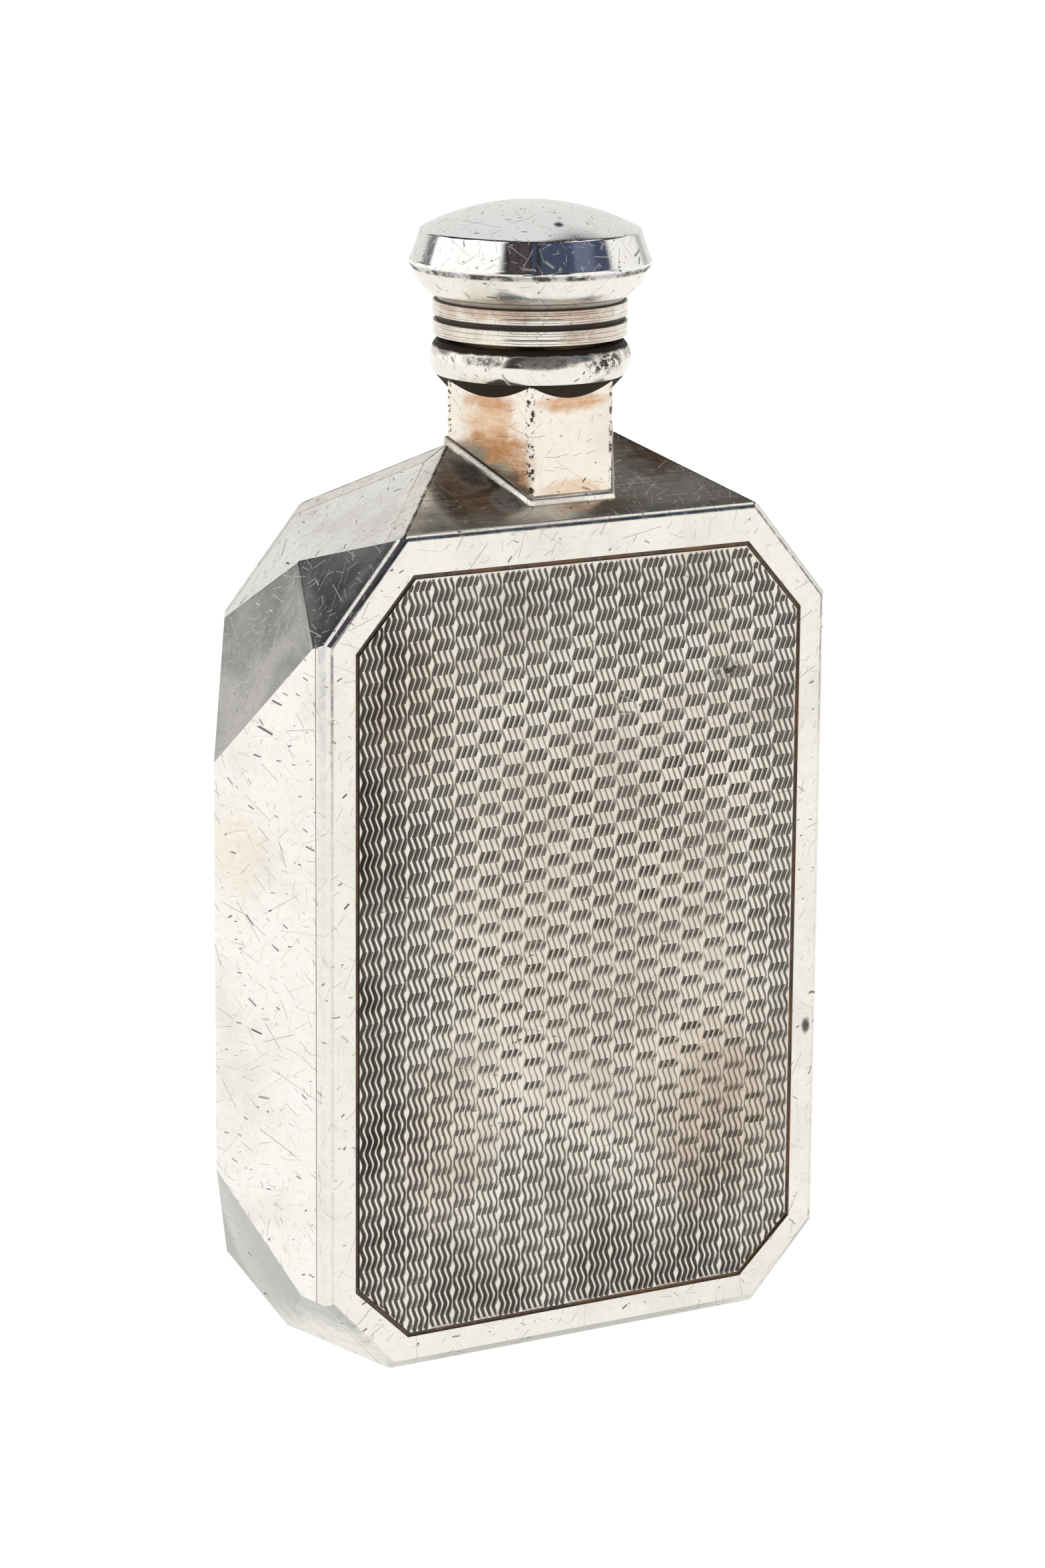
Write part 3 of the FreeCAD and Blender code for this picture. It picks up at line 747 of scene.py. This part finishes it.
solder = silver(
    "solder_grey", tint=(0.90, 0.86, 0.79), dull=(0.42, 0.36, 0.28), dullness=0.8, gloss=(0.14, 0.34),
    dings=0.2,
    stains_and_shade=[
        # painted shade on the bead's left part, beside the neck's shaded side
        ((-9, -5, 100), (4.5, 6, 6), (0.30, 0.29, 0.24), 0.8),
        ((8, 0, 101), (4, 7, 6), (0.32, 0.20, 0.12), 0.9),
    ],
)
# painted shade under the overhanging collar ring, with some tarnish: the solder crescents are near black
shaded_crescent = silver(
    "shaded_crescent_solder", tint=(0.03, 0.025, 0.025), dull=(0.10, 0.05, 0.03), dullness=0.8, gloss=(0.3, 0.5),
    dings=0.2,
    # painted bluish reflection on the front right crescent
    stains_and_shade=[((5.4, -9.4, 109.6), (2.2, 2, 1.6), (0.28, 0.32, 0.40), 0.9)],
    darkening=shade_black,
)
collar_silver = silver(
    "collar_silver", dullness=0.35, gloss=(0.10, 0.24), dings=0.9, waves=0.02,
    smudges_and_shade=[
        ((3.6, -10.7, 112.9), (4.2, 3, 1.6), 0.95, 0.0),
        ((-4, -10.5, 113.2), (5.0, 3, 0.9), 0.85, 0.5),
        ((-9.3, -6, 113.2), (3.2, 4, 0.8), 0.75, 0.4),
        ((9.3, -6, 113.2), (3, 4, 0.8), 0.7, 0.4),
    ],
    # painted shade under the cap on the collar's top, with dirt
    darkening=mouth_shade_and_dirt(11.15, 113.85),
)
crown_silver = silver(
    "crown_silver",
    tint=(0.90, 0.895, 0.88),
    dullness=0.15,
    gloss=(0.06, 0.14),
    dings=0.8,
    scuffs=0.95,
    brushed=0.12,
    smudges_and_shade=[((-1.8, -9.2, 128.4), (0.85, 0.9, 0.6), 0.95, 1.0)],
    darkening=ring_dirt(122.95, 0.3, 0.9),
)
bowl_silver = silver(
    "bowl_silver", dullness=0.4, gloss=(0.14, 0.3), dings=0.85, darkening=ring_dirt(122.75, 0.35, 0.9),
)
skirt_silver = silver(
    "skirt_silver", tint=(0.86, 0.82, 0.74), dullness=0.6, dull=(0.45, 0.30, 0.20), gloss=(0.12, 0.26),
    dings=0.3,
    stains_and_shade=[((-6, -9, 118.7), (16, 16, 1.1), (0.42, 0.26, 0.16), 0.7)],
    # dirt in the grooves, and painted shade in the top groove under the bowl
    darkening=grooves_dirt_and_shade([(116.7, 117.35), (118.95, 119.6)], 0.95, 10.6, 10.86),
)
spout_brass = silver(
    "spout_brass", tint=(0.60, 0.42, 0.22), dull=(0.12, 0.07, 0.04), dullness=0.9, gloss=(0.25, 0.5),
    dings=0.3,
)
sleeve_brass = silver(
    "sleeve_brass", tint=(0.60, 0.45, 0.27), dull=(0.18, 0.10, 0.06), dullness=0.9, gloss=(0.25, 0.5),
    dings=0.3,
)
tin = silver("tin_disc", tint=(0.70, 0.69, 0.67), dull=(0.40, 0.37, 0.33), gloss=(0.3, 0.5))


def cork():
    material = bpy.data.materials.new("cork")
    g = Graph(material)
    point = place(g)
    grains = g.node("ShaderNodeTexVoronoi", {"Vector": point, "Scale": 0.9}, feature="F1")
    grain = g.parts(grains.outputs["Color"])[0]
    colour = g.mix(grain, (0.42, 0.25, 0.13), (0.66, 0.45, 0.27))
    holes = g.step(g.noise(point, 1.1, 4), 0.62, 0.68)
    colour = g.mix(holes, colour, (0.10, 0.05, 0.03))
    edges = g.step(grains.outputs["Distance"], 0.35, 0.6)
    height = g.math("SUBTRACT", 0.0, g.math("MAXIMUM", holes, g.math("MULTIPLY", edges, 0.4)))
    bump = g.node("ShaderNodeBump", {"Height": height})
    bump.inputs["Distance"].default_value = 0.2 * MM
    shader = g.node("ShaderNodeBsdfPrincipled", {"Base Color": colour, "Normal": bump.outputs[0]})
    shader.inputs["Roughness"].default_value = 0.85
    g.node("ShaderNodeOutputMaterial", {"Surface": shader.outputs[0]})
    return material


# the flask's pieces

WORN = 0.3

for name, node, material in (
    ("front_face", "front_pressing", front_silver),
    ("back_face", "back_pressing", back_silver),
    ("left_side", "left_side_strip", side_silver),
    ("right_side", "right_side_strip", side_silver),
):
    show(name, worn_copy(node, WORN), node, "flask", material)
show("underside_plate", worn_copy("base_plate", 0.08), "base_plate", "flask", base_silver)
show("engraved_front", engraved_panel(-1), None, "flask", panel_silver, smooth=12)
show("engraved_back", engraved_panel(1), None, "flask", back_panel_silver, smooth=12)
show("six_sided_neck", worn_copy("hex_neck", WORN), "hex_neck", "flask", neck_silver)
show("solder_at_neck_foot", slim_bead(), "neck_solder", "flask", solder, 60)
crescents = worn_copy("collar_solder", 0.08, 30)
show("solder_under_collar", crescents, "collar_solder", "flask", shaded_crescent, 50)

COLLAR_BORE = 9.3
COLLAR_MOUTH = 9.9
COLLAR_FOOT = (10.8, 110.7)
COLLAR_CREST = (10.5, 114.5)
COLLAR_BULGE = 2.9

collar_outline = [
    (COLLAR_BORE, COLLAR_FOOT[1]),
    COLLAR_FOOT,
    *arc(COLLAR_FOOT, COLLAR_CREST, COLLAR_BULGE, 1, 16),
    (COLLAR_MOUTH, COLLAR_CREST[1]),
    (COLLAR_BORE, 113.9),
]
collar = lathe(
    softened(collar_outline, {len(collar_outline) - 3: 0.2, len(collar_outline) - 2: 0.15}),
    dents=[(-78, 112.9, 0.8, 0.16), (-66, 112.3, 0.7, 0.2), (-55, 113.2, 0.8, 0.16), (-92, 111.8, 0.6, 0.1),
           (-140, 113.4, 0.7, 0.1), (30, 112.5, 0.9, 0.15), (110, 112.9, 0.8, 0.12)],
)
show("collar_bead", collar, "collar_ring", "flask", collar_silver)

# the cap's pieces

CAP_TOP = 130.0
DOME_EDGE = 12.5
DOME_RISE = 3.15
RIM = 13.64
RIM_TOP = 123.7
RIM_LOW = 122.9
RIM_INSIDE = 12.85
CEILING = 129.2
CEILING_CURVE = 26.6


def under_dome(top, curve, radii):
    """Points of a shallow dome with its top on the axis."""
    return [(r, top - curve + math.sqrt(curve**2 - r * r)) for r in radii]


dome_curve = (DOME_EDGE**2 + DOME_RISE**2) / (2 * DOME_RISE)
dome = under_dome(CAP_TOP, dome_curve, np.linspace(0, DOME_EDGE, 26))
crown_outline = [
    *dome,
    (RIM, RIM_TOP),
    *arc((RIM, RIM_TOP), (RIM, RIM_LOW), 0.8, -1, 6),
    (RIM_INSIDE, RIM_LOW),
    (RIM_INSIDE, RIM_TOP),
    (11.7, 126.45),
    *under_dome(CEILING, CEILING_CURVE, (8, 4, 0)),
]
crown = lathe(
    softened(crown_outline, {25: 0.22, 26: 0.16, 32: 0.1}),
    segments=256,
    dents=[
        (-118, 123.6, 0.5, 0.1), (-128, 126.6, 0.5, 0.08), (-150, 124.0, 0.8, 0.06),
        (-96, 126.8, 0.6, 0.08), (-60, 123.4, 0.6, 0.08), (-75, 125.4, 1.6, 0.03),
        (-160, 125.6, 2.0, 0.03), (40, 124.8, 1.2, 0.05),
    ],
)
show("cap_top", crown, "cap_crown", "cap", crown_silver, smooth=50)

SKIRT = 10.95
SKIRT_BORE = 9.5
SKIRT_GROOVE = 10.55
BOWL_FOOT = 119.6
BOWL_RIM = (13.4, RIM_LOW)

bowl_outline = [
    BOWL_RIM,
    *arc(BOWL_RIM, (11.15, BOWL_FOOT), 5.3, -1, 12),
    (SKIRT, BOWL_FOOT),
    (SKIRT, 120.3),
    *arc((SKIRT, 120.3), (12.7, RIM_LOW), 4.6, 1, 6),
]
bowl = lathe(
    softened(bowl_outline, {0: 0.12, 12: 0.15}),
    segments=256,
    dents=[
        (-120, 121.2, 0.6, 0.07), (-100, 122.0, 0.6, 0.08), (-84, 121.0, 0.7, 0.09),
        (-70, 121.8, 0.8, 0.1), (-60, 120.8, 0.6, 0.08), (-140, 121.8, 0.8, 0.06),
        (20, 121.2, 0.9, 0.08), (100, 121.5, 0.8, 0.08),
    ],
)
show("cap_bowl", bowl, "cap_underside", "cap", bowl_silver, smooth=50)


RIB_SHARES = (0.16, 0.34, 0.45, 0.68, 0.84)
RIB_DEEP = (0.03, 0.045, 0.02, 0.04, 0.025)


RIB_HALF = 0.05
BAND_BREAK = 0.04


def ribbed(low, high, radius):
    """A turned band's outside, going up, with fine uneven lines cut in it."""
    tall = high - low
    points = [(radius - BAND_BREAK, low), (radius, low + RIB_HALF)]
    for share, deep in zip(RIB_SHARES, RIB_DEEP):
        middle = low + share * tall
        points.extend([(radius, middle - RIB_HALF), (radius - deep, middle), (radius, middle + RIB_HALF)])
    points.extend([(radius, high - RIB_HALF), (radius - BAND_BREAK, high)])
    return points


SKIRT_FOOT = 115.05
SKIRT_TOP = 122.2
LOW_BAND_TOP = 116.7
HIGH_BAND_FOOT = 117.35
HIGH_BAND_TOP = 118.95

skirt_outline = [
    (SKIRT_BORE, SKIRT_FOOT),
    *ribbed(SKIRT_FOOT, LOW_BAND_TOP, SKIRT),
    (SKIRT_GROOVE, 116.76),
    (SKIRT_GROOVE, 117.29),
    *ribbed(HIGH_BAND_FOOT, HIGH_BAND_TOP, SKIRT),
    (SKIRT_GROOVE, 119.0),
    (SKIRT_GROOVE, BOWL_FOOT),
    (SKIRT, BOWL_FOOT),
    (SKIRT, SKIRT_TOP),
    (SKIRT_BORE, SKIRT_TOP),
]
skirt = lathe(skirt_outline, 256)
show("cap_skirt_bands", skirt, "cap_skirt", "cap", skirt_silver, smooth=25)

for node, material in (
    ("threaded_spout", spout_brass),
    ("cap_thread_sleeve", sleeve_brass),
    ("cork_liner", cork()),
    ("liner_disc", tin),
):
    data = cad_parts[node].data
    data.materials.clear()
    data.materials.append(material)

# camera

VIEW_TURN = math.radians(-30.646)
VIEW_RISE = math.radians(13.151)
VIEW_ROLL = math.radians(0.438)
VIEW_AWAY = 579.42
VIEW_TARGET = Vector((-0.534, 0.0, 63.026))
FILM_HEIGHT = 36
FOCAL_LENGTH = 115.98
NEAREST, FURTHEST = 0.01, 50
FLOOR_RADIUS = 8.0
FLOOR_DROP = 0.0002

back = Vector((
    math.sin(VIEW_TURN) * math.cos(VIEW_RISE),
    -math.cos(VIEW_TURN) * math.cos(VIEW_RISE),
    math.sin(VIEW_RISE),
))
level = Vector((math.cos(VIEW_TURN), math.sin(VIEW_TURN), 0))
upright = back.cross(level)
right = math.cos(VIEW_ROLL) * level + math.sin(VIEW_ROLL) * upright
up = math.cos(VIEW_ROLL) * upright - math.sin(VIEW_ROLL) * level
camera = bpy.data.objects.new("camera", bpy.data.cameras.new("camera"))
bpy.context.scene.collection.objects.link(camera)
camera.matrix_world = Matrix.Translation((VIEW_TARGET + back * VIEW_AWAY) * MM) @ Matrix((
    (right.x, up.x, back.x), (right.y, up.y, back.y), (right.z, up.z, back.z),
)).to_4x4()
camera.data.sensor_fit = "VERTICAL"
camera.data.sensor_height = FILM_HEIGHT
camera.data.lens = FOCAL_LENGTH
camera.data.clip_start = NEAREST
camera.data.clip_end = FURTHEST
bpy.context.scene.camera = camera

# floor and light

floor_data = bmesh.new()
bmesh.ops.create_circle(floor_data, cap_ends=True, segments=96, radius=FLOOR_RADIUS)
floor_mesh = bpy.data.meshes.new("floor")
floor_data.to_mesh(floor_mesh)
floor_data.free()
floor = bpy.data.objects.new("floor", floor_mesh)
floor.location.z = -FLOOR_DROP
bpy.context.scene.collection.objects.link(floor)
floor_paint = bpy.data.materials.new("floor_white")
g = Graph(floor_paint)
sheet = g.node("ShaderNodeBsdfPrincipled")
sheet.inputs["Base Color"].default_value = (0.03, 0.03, 0.03, 1)
sheet.inputs["Roughness"].default_value = 0.9
sheet.inputs["Emission Color"].default_value = (1, 1, 1, 1)
sheet.inputs["Emission Strength"].default_value = 1.0
g.node("ShaderNodeOutputMaterial", {"Surface": sheet.outputs[0]})
floor_mesh.materials.append(floor_paint)

# soft boxes of the studio as areas of the sky: how far round from straight behind the flask
# (right of the view positive), how high, how soft the edges are, and how bright
SOFT_BOXES = [
    (-52, 40, -30, 48, 13, (0.82, 0.82, 0.81)),
    (-38, 16, 30, 80, 10, (0.80, 0.80, 0.80)),
    (-148, -46, -30, 40, 4, (1.2, 1.19, 1.16)),
    (-150, -96, 30, 56, 4, (1.2, 1.2, 1.2)),
    (-67, -44, 10, 29, 3, (0.20, 0.20, 0.21)),
    (-86, -42, 31, 70, 4, (0.025, 0.03, 0.04)),
    (-200, -161, 12, 42, 4, (0.085, 0.062, 0.066)),
    (44, 94, -30, 30, 7, (0.98, 0.97, 0.93)),
    (98, 140, -30, 17, 5, (1.05, 1.03, 0.98)),
    (94, 174, 20, 42, 3, (0.065, 0.08, 0.13)),
    (112, 132, 22, 36, 6, (0.15, 0.18, 0.26)),
    (29, 66, 47, 68, 5, (0.12, 0.115, 0.11)),
    (70, 132, 46, 58, 4, (1.15, 1.14, 1.1)),
    (-200, 200, 80, 100, 4, (0.6, 0.6, 0.6)),
]
DARK = (0.035, 0.034, 0.04)

world = bpy.data.worlds.new("studio")
bpy.context.scene.world = world
g = Graph(world)
way = g.node("ShaderNodeTexCoord").outputs["Generated"]
behind = g.vector("DOT_PRODUCT", way, (-math.sin(VIEW_TURN), math.cos(VIEW_TURN), 0))
aside = g.vector("DOT_PRODUCT", way, (math.cos(VIEW_TURN), math.sin(VIEW_TURN), 0))
turn = g.math("MULTIPLY", g.math("ARCTAN2", aside, behind), 180 / math.pi)
rise = g.math("MULTIPLY", g.math("ARCSINE", g.parts(way)[2]), 180 / math.pi)
light = DARK
for low, high, foot, head, soft, shade in SOFT_BOXES:
    within = []
    for angle, start, end in ((turn, low, high), (rise, foot, head)):
        after = g.step(angle, start - soft, start + soft)
        within.append(g.math("MULTIPLY", after, g.step(angle, end - soft, end + soft, 1.0, 0.0)))
    light = g.mix(g.math("MULTIPLY", *within), light, shade)
sky = g.node("ShaderNodeBackground", {"Color": light})
sky.inputs["Strength"].default_value = 1.0
g.node("ShaderNodeOutputWorld", {"Surface": sky.outputs[0]})
bpy.context.scene.view_settings.view_transform = "Standard"
